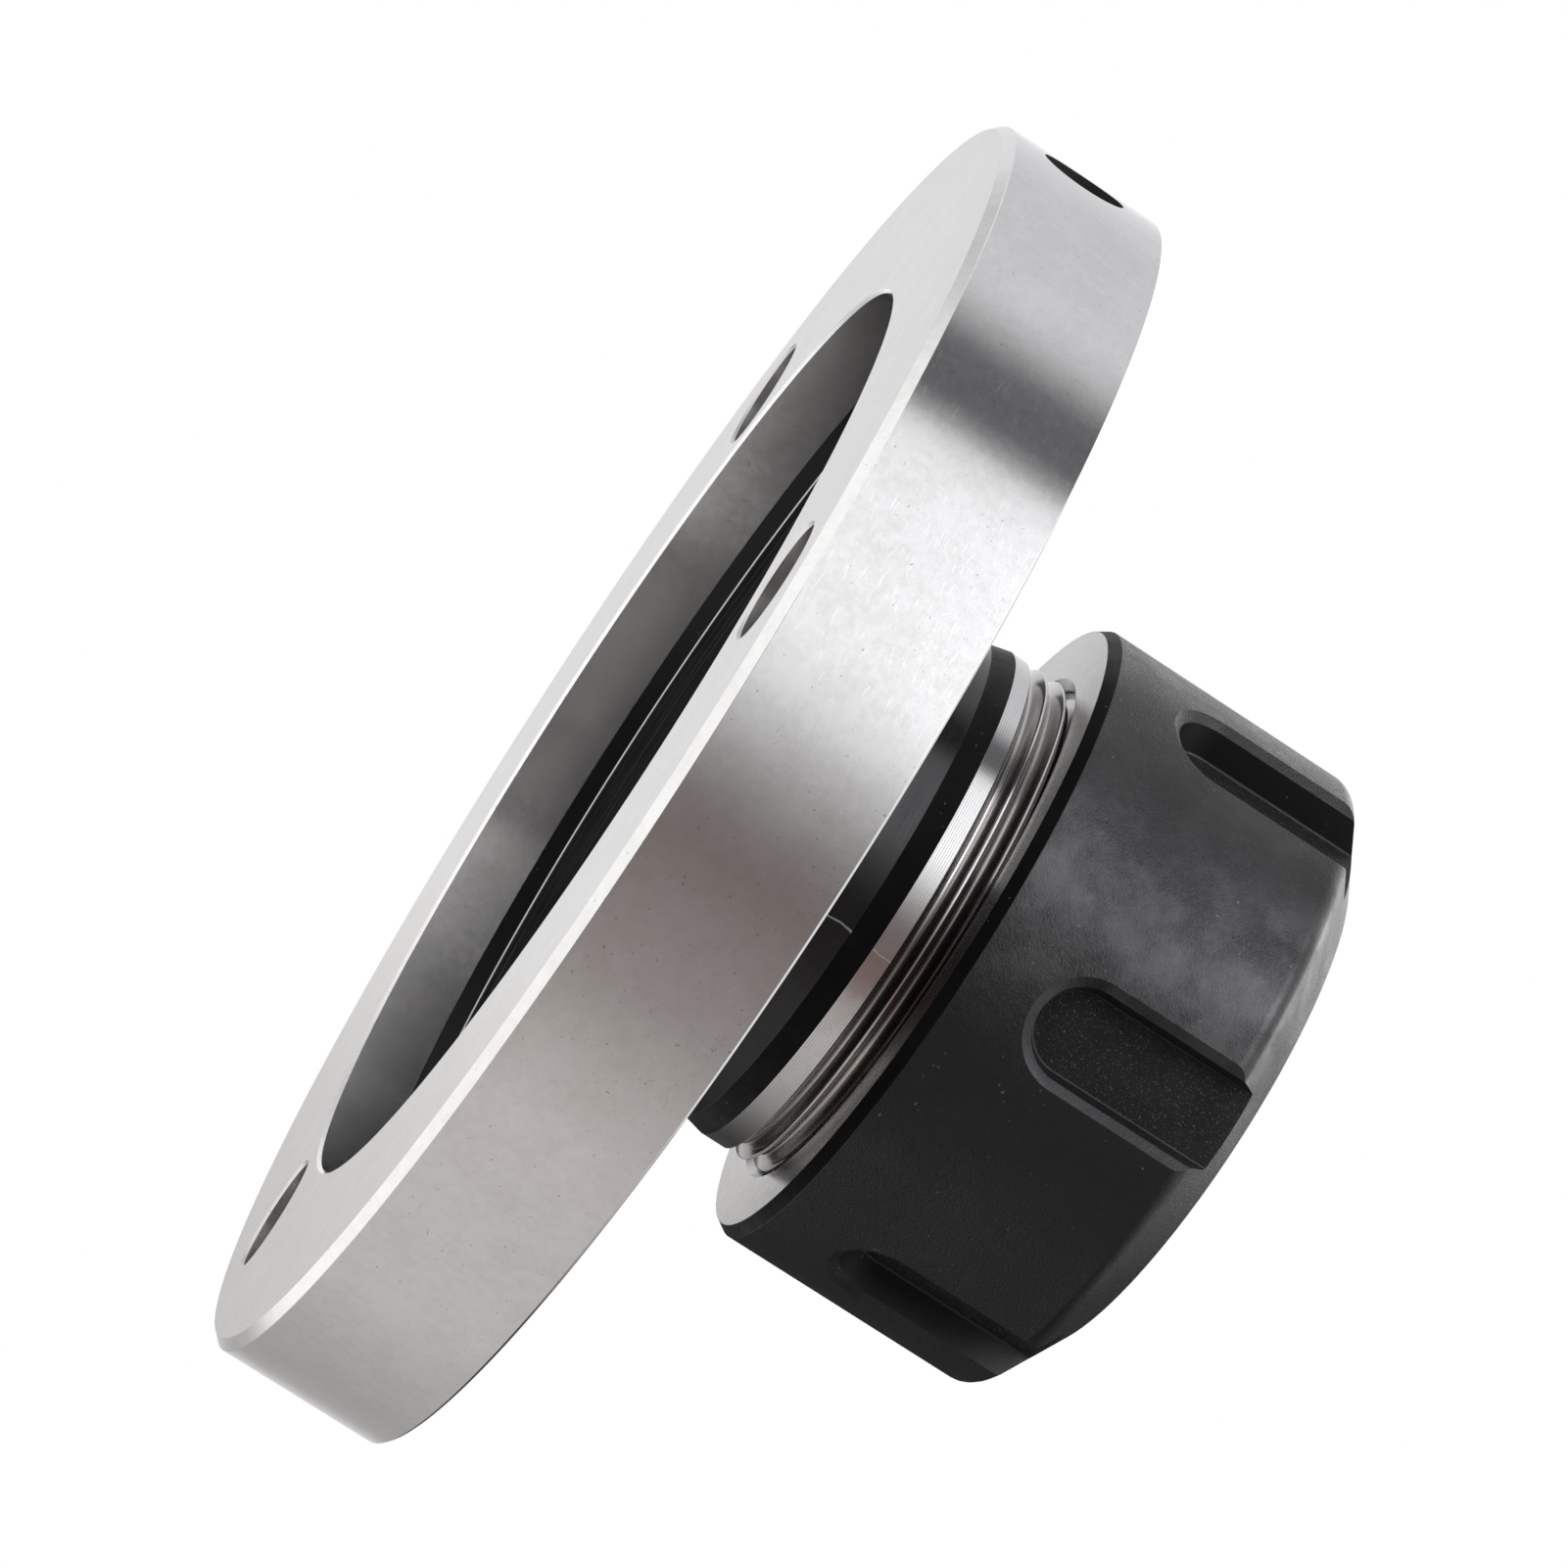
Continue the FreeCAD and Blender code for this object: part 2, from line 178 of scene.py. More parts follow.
def cutAway(piece, cutter):
    cut = piece.modifiers.new("cut", "BOOLEAN")
    cut.operation = "DIFFERENCE"
    cut.solver = "EXACT"
    cut.object = cutter
    applyModifiers(piece)
    bpy.data.objects.remove(cutter)


def smoothFaces(piece, sharpAngle=30.0):
    piece.data.shade_smooth()
    piece.data.set_sharp_from_angle(angle=math.radians(sharpAngle))
    weighted = piece.modifiers.new("even normals", "WEIGHTED_NORMAL")
    weighted.keep_sharp = True
    weighted.weight = 100
    applyModifiers(piece)


def paintFaces(piece, choose):  # choose gives the finish of a face from its centre and normal
    piece.data.materials.clear()
    places = {}
    for face in piece.data.polygons:
        finish = choose(face.center / mm, face.normal)
        if finish not in places:
            places[finish] = len(places)
            piece.data.materials.append(finishes[finish])
        face.material_index = places[finish]


# Shader maths

class Wire:  # a shader socket that takes part in Python sums
    def __init__(self, paint, socket):
        self.paint = paint
        self.socket = socket

    def maths(self, operation, *others):  # this socket is the first value
        return self.paint.node("ShaderNodeMath", {"operation": operation},
                               dict(enumerate((self, *others))))

    def __add__(self, other):
        return self.maths("ADD", other)

    def __sub__(self, other):
        return self.maths("SUBTRACT", other)

    def __mul__(self, other):
        return self.maths("MULTIPLY", other)

    def __truediv__(self, other):
        return self.maths("DIVIDE", other)

    def __pow__(self, other):
        return self.maths("POWER", other)

    def __abs__(self):
        return self.maths("ABSOLUTE")

    def __radd__(self, other):
        return self + other

    def __rsub__(self, other):
        return self * -1.0 + other

    def __rmul__(self, other):
        return self * other


class Paint:  # one node tree
    def __init__(self, tree):
        self.tree = tree
        tree.nodes.clear()

    def node(self, kind, settings=None, values=None, output=0):
        made = self.tree.nodes.new(kind)
        for name, value in (settings or {}).items():
            if name == "stops":
                ramp = made.color_ramp
                while len(ramp.elements) < len(value):
                    ramp.elements.new(1.0)
                for element, (place, colour) in zip(ramp.elements, value):
                    element.position = place
                    element.color = (*colour, 1.0)
            else:
                setattr(made, name, value)
        for name, value in (values or {}).items():
            if isinstance(value, Wire):
                self.tree.links.new(value.socket, made.inputs[name])
            elif isinstance(value, tuple) and len(value) == 3 and made.inputs[name].type == "RGBA":
                made.inputs[name].default_value = (*value, 1.0)
            else:
                made.inputs[name].default_value = value
        return Wire(self, made.outputs[output]) if made.outputs else None

    def mix(self, factor, first, second):  # colours
        return self.node("ShaderNodeMix", {"data_type": "RGBA"}, {0: factor, 6: first, 7: second}, 2)

    def place(self):  # position on the object, in metres
        return self.node("ShaderNodeTexCoord", output="Object")

    def split(self, vector):
        made = self.node("ShaderNodeSeparateXYZ", values={0: vector}).socket.node
        return [Wire(self, socket) for socket in made.outputs]

    def join(self, x, y, z):
        return self.node("ShaderNodeCombineXYZ", values={0: x, 1: y, 2: z})

    def angle(self, x, y):  # direction round the spindle axis, in degrees
        return y.maths("ARCTAN2", x) * (180 / math.pi)

    def rays(self, *kinds):
        outputs = self.node("ShaderNodeLightPath").socket.node.outputs
        return [Wire(self, outputs[kind]) for kind in kinds]

    def noise(self, vector, size, detail=2.0, roughness=0.5):  # size in millimetres
        return self.node("ShaderNodeTexNoise", {"normalize": True},
                         {"Vector": vector, "Scale": 1.0 / (size * mm), "Detail": detail,
                          "Roughness": roughness})

    def ease(self, value, low, high, to0=0.0, to1=1.0):  # smooth step between two levels
        return self.node("ShaderNodeMapRange", {"interpolation_type": "SMOOTHSTEP"},
                         {0: value, 1: low, 2: high, 3: to0, 4: to1})

    def streaks(self, spot, size, stretch, across="z", detail=3.0, lean=0.0):
        # fine lines that run round the axis: long round it, narrow along z or the radius
        x, y, z = self.split(spot)
        width = z if across == "z" else (x * x + y * y) ** 0.5
        if lean:
            width = width + (x + y) * lean
        flat = 1.0 / stretch
        return self.noise(self.join(x * flat, y * flat, width), size, detail, 0.6)


def newMaterial(name, build):
    material = bpy.data.materials.new(name)
    material.use_nodes = True
    paint = Paint(material.node_tree)
    sockets = build(paint)
    surface = paint.node("ShaderNodeBsdfPrincipled", values=sockets)
    paint.node("ShaderNodeOutputMaterial", values={0: surface})
    return material


def bump(paint, height, depth):  # depth in millimetres
    return paint.node("ShaderNodeBump", values={"Height": height, "Distance": depth * mm,
                                                "Strength": 1.0})


steelLook = {
    "colour": (0.655, 0.650, 0.645), "shade": (0.60, 0.59, 0.58), "shine": (0.74, 0.74, 0.74),
    "stain": (0.40, 0.34, 0.30), "pit": (0.26, 0.24, 0.23),
    "grain": 0.17, "mottle": 0.75, "cloud": 3.4, "stainSize": 1.3, "pitSize": 0.30,
    "cloudFrom": (0.36, 0.64), "stainFrom": (0.70, 0.80), "pitFrom": (0.735, 0.775),
    "scratchWidth": 0.09, "scratchLength": 16.0, "scratchLean": 0.35, "scratchFrom": (0.76, 0.79),
}


def groundSteel(name, across="z", roughness=0.2, anisotropy=0.0, line=0.10, stretch=14.0,
                depth=0.0006, mottled=1.0, worn=1.0, scratched=0.0, feed=0.0, tint=None,
                marked=False):
    # steel turned or ground round the axis, with fine lines across the radius or the height
    def build(paint):
        look = steelLook
        bright = tint or look["colour"]
        shade = tuple(part * bright[0] / look["colour"][0] for part in look["shade"])
        spot = paint.place()
        grain = paint.noise(spot, look["grain"], 3.0)
        mottle = paint.noise(spot, look["mottle"], 3.0, 0.65)
        cloud = paint.noise(spot, look["cloud"], 3.0, 0.55)
        lines = paint.streaks(spot, line, stretch, across)
        wide = paint.streaks(spot, line * 7.0, stretch * 0.7, across)
        stains = paint.ease(paint.noise(spot, look["stainSize"], 3.0, 0.7), *look["stainFrom"])
        pits = paint.ease(paint.noise(spot, look["pitSize"], 1.0), *look["pitFrom"])
        clean = paint.ease(cloud * 0.5 + mottle * 0.5, *look["cloudFrom"])
        body = paint.mix(clean, shade, bright)
        body = paint.mix(lines * 0.14 + wide * 0.10 + grain * 0.08 - 0.04, body, look["shine"])
        body = paint.mix(stains * 0.22 * worn, body, look["stain"])
        body = paint.mix(pits * 0.55 * worn, body, look["pit"])
        height = grain * 0.6 + lines + mottle * 0.9 * mottled - pits * 0.9 * worn
        rough = roughness + (grain - 0.5) * 0.06 + (mottle - 0.5) * 0.07 * mottled + stains * 0.05
        if scratched:
            leans = (look["scratchLean"], -look["scratchLean"])
            oneWay, otherWay = (
                paint.ease(paint.streaks(spot, look["scratchWidth"], look["scratchLength"],
                                         across, 0.0, lean), *look["scratchFrom"])
                for lean in leans)
            scratches = (oneWay + otherWay) * scratched
            body = paint.mix(scratches * 0.3, body, look["shine"])
            height = height - scratches
            rough = rough + scratches * 0.1
        if feed:  # ridges that the turning tool left, one each time round
            ridge = (paint.split(spot)[2] * (2 * math.pi / (feed * mm))).maths("SINE")
            ridge = (ridge * 0.5 + 0.5) * paint.ease(mottle, 0.40, 0.60, 0.5, 1.0)
            body = paint.mix(ridge * 0.5, body, tuple(part * 0.5 for part in shade))
            height = height + ridge * 2.0
        if marked:
            body = bandMarks(paint, spot, body)
        return {
            "Base Color": body,
            "Metallic": 1.0,
            "Roughness": rough,
            "Normal": bump(paint, height, depth),
            "Anisotropic": anisotropy,
            "Anisotropic Rotation": 0.25,
        }
    return newMaterial(name, build)


markLook = {
    "angle": 84.4, "lean": 0.2, "middle": 18.6, "width": 0.10, "radius": 19.5,
    "neckEnds": (17.2, 17.5, 19.6, 19.8), "bandEnds": (21.1, 21.3, 22.6, 22.9),
    "neckColour": (0.5, 0.5, 0.5), "bandColour": (0.8, 0.8, 0.8),
    "rustAngle": 89.0, "rustWidth": (5.0, 13.0), "rustColour": (0.40, 0.28, 0.27),
}


def toolMark(paint, spot):  # fine light scratch across the neck and the band behind the thread
    look = markLook
    x, y, z = paint.split(spot)
    high = z * (1 / mm)
    turn = paint.angle(x, y)
    wave = paint.noise(spot, 1.4, 2.0) * 1.6 - 0.8
    away = abs(turn - look["angle"] - (high - look["middle"]) * look["lean"] + wave)
    spans = [paint.ease(high, *ends[:2]) * paint.ease(high, *ends[2:], 1.0, 0.0)
             for ends in (look["neckEnds"], look["bandEnds"])]
    width = math.degrees(look["width"] / look["radius"])
    return paint.ease(away, width * 0.4, width, 1.0, 0.0) * (spans[0] + spans[1])


def bandMarks(paint, spot, body):  # the light scratch and a reddish stain
    look = markLook
    x, y, z = paint.split(spot)
    turn = paint.angle(x, y)
    tone = paint.noise(spot, 1.6, 3.0, 0.6)
    rust = paint.ease(abs(turn - look["rustAngle"]) + tone * 8.0, *look["rustWidth"], 1.0, 0.0)
    body = paint.mix(rust * 0.7, body, look["rustColour"])
    return paint.mix(toolMark(paint, spot) * 0.7, body, look["bandColour"])


blackLook = {
    "colour": (0.0062, 0.0062, 0.0066), "worn": (0.012, 0.012, 0.013), "dust": (0.20, 0.20, 0.20),
    # the ring colour is a painted highlight on turned rings
    "glint": (0.10, 0.085, 0.075), "ring": (0.10, 0.10, 0.10),
    "grain": 0.17, "leather": 0.60, "pockSize": 1.1, "cloud": 5.5, "dustSize": 0.42,
    "glintSize": 0.11, "ringWidth": 0.9, "streakWidth": 0.16,
    "pockFrom": (0.66, 0.78), "dustFrom": (0.765, 0.80), "patchFrom": (0.40, 0.66),
    "ringFrom": (0.58, 0.70), "glintFrom": (0.64, 0.80),
    "filmSize": 5.0, "filmFrom": (0.36, 0.70), "filmRoughness": 0.28, "filmAngle": 57.0,
    "filmSide": (20.5, 24.6),
}


def blackSteel(name, roughness=0.4, specular=0.5, depth=0.006, sparkle=0.0, across=None,
               clouded=1.0, anisotropy=0.0, sheenCoat=0.0, dusty=0.6, tint=None, ringSheen=0.0,
               marked=False):
    # black oxide over bead-blasted or turned steel, with a clear coat in soft patches on one side as
    # painted sheen
    def build(paint):
        look = blackLook
        spot = paint.place()
        grain = paint.noise(spot, look["grain"], 3.0, 0.6)
        leather = paint.noise(spot, look["leather"], 4.0, 0.65)
        cloud = paint.noise(spot, look["cloud"], 6.0, 0.68)
        pocks = paint.ease(paint.noise(spot, look["pockSize"], 2.0, 0.5), *look["pockFrom"])
        dust = paint.ease(paint.noise(spot, look["dustSize"], 1.0, 0.5), *look["dustFrom"])
        patch = paint.ease(cloud, *look["patchFrom"])
        body = paint.mix(patch * 0.6, tint or look["colour"], look["worn"])
        rough = roughness + (grain - 0.5) * 0.24 + (0.5 - patch) * 0.10 * clouded
        height = grain * 1.2 + leather * 0.5 * clouded - pocks * 0.4 * clouded
        if across:
            streak = paint.streaks(spot, look["streakWidth"], 40.0, across)
            rough = rough + (streak - 0.5) * 0.22
            height = grain * 0.3 + streak
        if ringSheen:  # turned rings, painted lighter as a highlight on them
            ring = paint.ease(paint.streaks(spot, look["ringWidth"], 60.0, "radius", 1.0),
                              *look["ringFrom"])
            body = paint.mix(ring * ringSheen, body, look["ring"])
        if sparkle:
            glints = paint.ease(paint.noise(spot, look["glintSize"], 0.0), *look["glintFrom"])
            body = paint.mix(glints * sparkle, body, look["glint"])
        else:
            body = paint.mix(dust * dusty, body, look["dust"])
        if marked:
            body = paint.mix(toolMark(paint, spot) * 0.5, body, markLook["neckColour"])
        sockets = {
            "Base Color": body,
            "Metallic": 0.0,
            "Roughness": rough,
            "Specular IOR Level": specular,
            "Anisotropic": anisotropy,
            "Anisotropic Rotation": 0.25,
            "Normal": bump(paint, height, depth),
        }
        if sheenCoat:  # painted sheen: a clear coat in soft patches, only on the side of the nut where the light falls
            x, y, z = paint.split(spot)
            side = math.radians(look["filmAngle"])
            toward = (x * math.cos(side) + y * math.sin(side)) * (1 / mm)
            film = paint.ease(paint.noise(spot, look["filmSize"], 6.0, 0.55), *look["filmFrom"])
            film = film * 0.8 + leather * 0.6 + grain * 0.8 - 0.65
            sockets["Coat Weight"] = film * paint.ease(toward, *look["filmSide"]) * sheenCoat
            sockets["Coat Roughness"] = look["filmRoughness"]
        return sockets
    return newMaterial(name, build)


finishes = {
    "backFace": groundSteel("ground_face", "radius", 0.27, 0.2, depth=0.0004, worn=0.4),
    "rim": groundSteel("ground_rim", "z", 0.14, 0.6, depth=0.0006, mottled=0.2, scratched=0.35),
    "chamfer": groundSteel("turned_edge", "z", 0.20, 0.3, depth=0.0004),
    "recessWall": groundSteel("bored_wall", "z", 0.18, 0.9, line=0.12, stretch=60.0,
                              depth=0.0006, mottled=0.3, tint=(0.74, 0.72, 0.72)),
    "recessCorner": groundSteel("bored_corner", "z", 0.30, tint=(0.40, 0.39, 0.385)),
    "boltHole": groundSteel("drilled_wall", "z", 0.30, line=0.2, depth=0.002,
                            tint=(0.50, 0.48, 0.47)),
    "crest": groundSteel("thread_crest", "z", 0.13, 0.5, line=0.09, stretch=60.0,
                         depth=0.0005, mottled=0.2, worn=0.4, feed=0.18, marked=True),
    "flank": groundSteel("thread_flank", "z", 0.16, 0.5, line=0.12, stretch=80.0,
                         depth=0.0003, mottled=0.2, worn=0.6, tint=(0.36, 0.33, 0.31)),
    "bore": groundSteel("ground_bore", "z", 0.20, 0.5, line=0.12, stretch=40.0, mottled=0.3),
    "collet": groundSteel("spring_collet", "z", 0.24, 0.6, line=0.11, stretch=40.0,
                          depth=0.0008, mottled=0.5, worn=0.5),
    "colletFace": groundSteel("collet_face", "radius", 0.24, 0.3, line=0.11, stretch=40.0,
                              depth=0.0008, mottled=0.5, worn=0.5, tint=(0.50, 0.49, 0.48)),
    # the nut's back face: ground steel tinted darker, as painted shade
    "nutBack": groundSteel("nut_back_steel", "radius", 0.22, 0.2, depth=0.0008, mottled=1.4,
                           worn=2.0, tint=(0.40, 0.385, 0.38)),
    "nutBore": groundSteel("nut_thread_steel", "z", 0.25, 0.5, stretch=60.0,
                           tint=(0.45, 0.44, 0.43)),
    "neck": blackSteel("black_neck", 0.20, 0.5, 0.0025, across="z", clouded=0.3,
                       anisotropy=0.4, dusty=0.0, tint=(0.0022, 0.0022, 0.0024), marked=True),
    "flangeFace": blackSteel("black_face", 0.55, 0.15, 0.003, across="radius",
                             tint=(0.010, 0.0075, 0.006)),
    "recessFloor": blackSteel("black_recess", 0.6, 0.0, 0.004, across="radius", dusty=0.2,
                              ringSheen=0.30, tint=(0.022, 0.021, 0.021)),
    "barHole": blackSteel("black_bore", 0.5, 0.2, 0.004, tint=(0.030, 0.026, 0.026)),
    "nut": blackSteel("black_nut", 0.36, 0.35, 0.040, sheenCoat=0.9, dusty=0.4),
    "blackEdge": blackSteel("black_edge", 0.45, 0.08, 0.008),
    "slotFloor": blackSteel("black_slot", 0.60, 0.22, 0.012, sparkle=0.7),
    "slotWall": blackSteel("black_wall", 0.45, 0.4, 0.008),
}
print("materials ready")


# Thread on the nose
threadSizes = {
    "crest": 19.92, "depth": 0.92, "pitch": 1.5, "crestAngle": 78.1, "crestHeight": 24.06,
    "fadeFrom": -130.0, "fadeTo": -60.0,
}
# height from a crest and the share of the depth, over one pitch
threadShape = ((0.0, 0.0), (0.07, 0.0), (0.11, 0.03), (0.16, 0.11), (0.36, 0.50), (0.57, 0.90),
               (0.64, 0.985), (0.75, 1.0), (0.86, 0.985), (0.93, 0.90), (1.14, 0.50),
               (1.34, 0.11), (1.39, 0.03), (1.43, 0.0))


def noseRadius(share, height):  # thread on the nose, with the lead-in chamfer across it
    lead = threadSizes["crest"] - (height - bodySizes["noseFace"] + bodySizes["noseChamfer"])
    return min(threadSizes["crest"] - share * threadSizes["depth"], lead)


def threadRows(low, high):  # rows that climb with the helix, held between two heights
    sizes = threadSizes
    pitch = sizes["pitch"]
    base = sizes["crestHeight"] - pitch * sizes["crestAngle"] / 360.0

    def row(turn, offset, share):
        def at(angle):
            height = base + turn * pitch + offset + pitch * angle / (2 * math.pi)
            unwound = math.degrees(angle) + 360.0 * (turn + 1)
            fade = (unwound - sizes["fadeFrom"]) / (sizes["fadeTo"] - sizes["fadeFrom"])
            fade = min(max(fade, 0.0), 1.0)
            held = min(max(height, low), high)
            return noseRadius(share * fade * fade * (3 - 2 * fade), held), held
        return at

    firstTurn = math.floor((low - base) / pitch) - 1
    lastTurn = math.ceil((high - base) / pitch)
    return [row(turn, offset, share) for turn in range(firstTurn, lastTurn)
            for offset, share in threadShape]


# Chuck body: flange, neck, threaded nose and taper bore, turned from one piece
bodySizes = {
    "columns": 256, "flange": 50.0, "thickness": 12.7, "chamfer": 0.67, "edge": 0.10,
    "frontChamfer": 0.17, "frontEdge": 0.04,
    "register": 36.0, "registerDepth": 6.35, "registerChamfer": 0.24, "groundDepth": 4.95,
    "cornerChamfer": 0.10, "stockBore": 13.5,
    "taperEnd": 17.8, "taperSmall": 13.10, "taperMouth": 16.45, "mouthChamfer": 0.3,
    "neck": 19.5, "neckTop": 19.4, "neckFillet": 2.0, "bandBack": 21.15,
    "noseFace": 41.8, "noseChamfer": 1.0,
    "boltCircle": 42.0, "boltHole": 4.25, "boltChamfer": 0.2, "boltTurn": 58.5, "boltCount": 3,
    "barHole": 3.2, "barEnd": 39.0, "barPoint": 1.9, "barHeight": 6.35,
    "drillSides": 64, "drillPast": 1.0, "barPast": 2.0, "barTip": 0.02,
}


def makeBody():
    s = bodySizes
    edge, rim, top = s["edge"], s["flange"], s["thickness"]
    behind = [
        (s["register"] - s["cornerChamfer"], s["registerDepth"], 0.02),
        (s["register"], s["registerDepth"] - s["cornerChamfer"], 0.02),
        (s["register"], s["groundDepth"], 0.0),
        (s["register"], s["registerChamfer"], 0.03),
        (s["register"] + s["registerChamfer"], 0.0, 0.03),
        (rim - s["chamfer"], 0.0, edge),
        (rim, s["chamfer"], edge),
        (rim, top - s["frontChamfer"], s["frontEdge"]),
        (rim - s["frontChamfer"], top, s["frontEdge"]),
        (s["neck"], top, s["neckFillet"]),
        (s["neck"], s["neckTop"], 0.12),
        (threadSizes["crest"], s["bandBack"], 0.04),
    ]
    ahead = [
        (s["taperMouth"] + s["mouthChamfer"], s["noseFace"], 0.05),
        (s["taperMouth"], s["noseFace"] - s["mouthChamfer"], 0.05),
        (s["taperSmall"], s["taperEnd"], 0.0),
        (s["stockBore"], s["taperEnd"], 0.0),
        (s["stockBore"], s["registerDepth"], 0.3),
    ]
    outline = easeCorners(behind + [(threadSizes["crest"], s["noseFace"], 0.0)] + ahead)
    split = next(i for i, point in enumerate(outline) if abs(point[1] - s["noseFace"]) < 1e-6
                 and abs(point[0] - threadSizes["crest"]) < 1e-6)
    start = [plainRow(point) for point in outline[:split]]
    climb = threadRows(outline[split - 1][1] + 0.02, s["noseFace"])
    end = [plainRow(point) for point in outline[split + 1:]]
    rows = start + climb + end
    span = (len(start), len(start) + len(climb) - 1)
    body = turnedMesh("chuckBody", rows, s["columns"], span, len(threadShape))

    hole, flare, past = s["boltHole"], s["boltChamfer"], s["drillPast"]
    sides = roundAngles(s["drillSides"])
    drill = [(hole + flare + past, -past), (hole, flare), (hole, top - flare),
             (hole + flare + past, top + past)]
    cutters = []
    for turn in range(s["boltCount"]):
        loops = [[(radius * math.cos(a) + s["boltCircle"], radius * math.sin(a), height)
                  for a in sides] for radius, height in drill]
        cutter = loftedMesh("boltDrill", loops)
        angle = math.radians(s["boltTurn"] + 360.0 * turn / s["boltCount"])
        cutter.data.transform(Matrix.Rotation(angle, 4, "Z"))
        cutters.append(cutter)
    bar = [(s["barTip"], s["barEnd"] - s["barPoint"]), (s["barHole"], s["barEnd"]),
           (s["barHole"], rim + s["barPast"])]
    loops = [[(reach, radius * math.cos(a), radius * math.sin(a) + s["barHeight"])
              for a in sides] for radius, reach in bar]
    cutters.append(loftedMesh("barDrill", loops))
    cutAway(body, joinAll("drills", cutters))
    smoothFaces(body)

    def choose(centre, normal):
        radius, height = math.hypot(centre.x, centre.y), centre.z
        offBar = math.hypot(centre.y, height - s["barHeight"])
        if centre.x > 30 and radius < rim - 0.1 and offBar < s["barHole"] + 0.05:
            return "barHole"
        if height < 0.02 and radius > s["register"]:
            return "backFace"
        if radius > s["register"] + 2 and height > top - 0.001:
            return "flangeFace"
        if radius > rim - 0.02 or (radius > rim - 1 and height > top - s["frontChamfer"]):
            return "rim"
        if radius > rim - s["chamfer"] - 0.02 and height < s["chamfer"]:
            return "chamfer"
        if radius > s["register"] + 1 and abs(normal.z) < 0.8 and height < top - 0.05:
            return "boltHole"
        if radius > s["register"] - 0.2 and height < s["groundDepth"]:
            return "recessWall"
        if radius > s["register"] - 0.2 and height < s["registerDepth"] and 0.2 < -normal.z < 0.95:
            return "recessCorner"
        if radius > s["stockBore"] + 0.01 and height < s["registerDepth"] + 0.31 and radius < rim - 5:
            return "recessFloor"
        if s["neckTop"] + 0.05 < height < s["bandBack"] - 0.03 and radius > s["neck"]:
            return "blackEdge"
        if height < s["bandBack"] - 0.03 and radius > s["neck"] - 0.1:
            return "neck" if height > top + 0.01 else "flangeFace"
        if radius < s["taperMouth"] + 0.4:
            return "bore"
        return "crest" if radius > threadSizes["crest"] - 0.04 else "flank"
    paintFaces(body, choose)
    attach(body, "chuck")
    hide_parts("chuck_body")
    return body


chuckBody = makeBody()
print("chuck body:", len(chuckBody.data.polygons), "faces")


# Clamping nut: thread bore, off-centre pull ring, front seat and spanner slots
nutSizes = {
    "columns": 256, "back": 25.7, "face": 49.2, "outer": 25.0, "turn": 17.6,
    "backRadius": 24.46, "backChamfer": 0.85, "bevelStart": 46.0, "frontRadius": 19.65,
    "bevelRound": 1.5, "entryChamfer": 0.6, "bore": 19.97, "threadEnd": 39.7,
    "runout": 20.6, "runoutEnd": 42.9, "web": 17.0, "ringBack": 44.2, "ringFront": 45.6,
    "seatAtFace": 13.56, "seatAtRing": 15.63, "ringBlank": 13.65, "ringBore": 14.9,
    "ringOffset": 0.55, "slotCount": 6, "slotHalf": 3.0, "slotFloor": 21.95, "slotMiddle": 35.4,
    "slotFillet": 0.22, "slotDraft": 10.0,
    "slotEdge": ((0.38, 0.545), (0.44, 0.48), (1.60, -0.36), (2.3, -1.0)),
    "filletSteps": 5, "roundSteps": 32, "slotOver": 2.5, "slotPast": 6.0,
    "ringSides": 128, "ringPast": 0.3,
}


def slotCutter():  # U outline, round at its back end and open at the front, loop by loop
    s = nutSizes
    draft, fillet = math.radians(s["slotDraft"]), s["slotFillet"]
    inset = fillet * (math.cos(draft) - math.tan(draft) * (1 - math.sin(draft)))
    levels = []  # offset from the floor's half width, height at the middle, follows the surface
    for step in range(s["filletSteps"] + 1):
        turn = (draft - math.pi / 2) * (1 - step / s["filletSteps"]) - draft
        levels.append((fillet * math.cos(turn) - inset,
                       s["slotFloor"] + fillet * (1 + math.sin(turn)), False))
    levels += [(offset, s["outer"] - drop, True) for offset, drop in s["slotEdge"]]
    levels.append((levels[-1][0], s["outer"] + s["slotOver"], False))
    loops = []
    for offset, height, follows in levels:
        half = s["slotHalf"] + offset
        points = [(half * math.cos(a), s["slotMiddle"] + half * math.sin(a))
                  for a in (math.pi * (1 + k / s["roundSteps"]) for k in range(s["roundSteps"] + 1))]
        points += [(half, s["face"] + s["slotPast"]), (-half, s["face"] + s["slotPast"])]
        fall = s["outer"] if follows else 0
        loops.append([(height - fall + math.sqrt(fall * fall - t * t) if follows else height, t, z)
                      for t, z in points])
    return loftedMesh("slotCutter", loops)


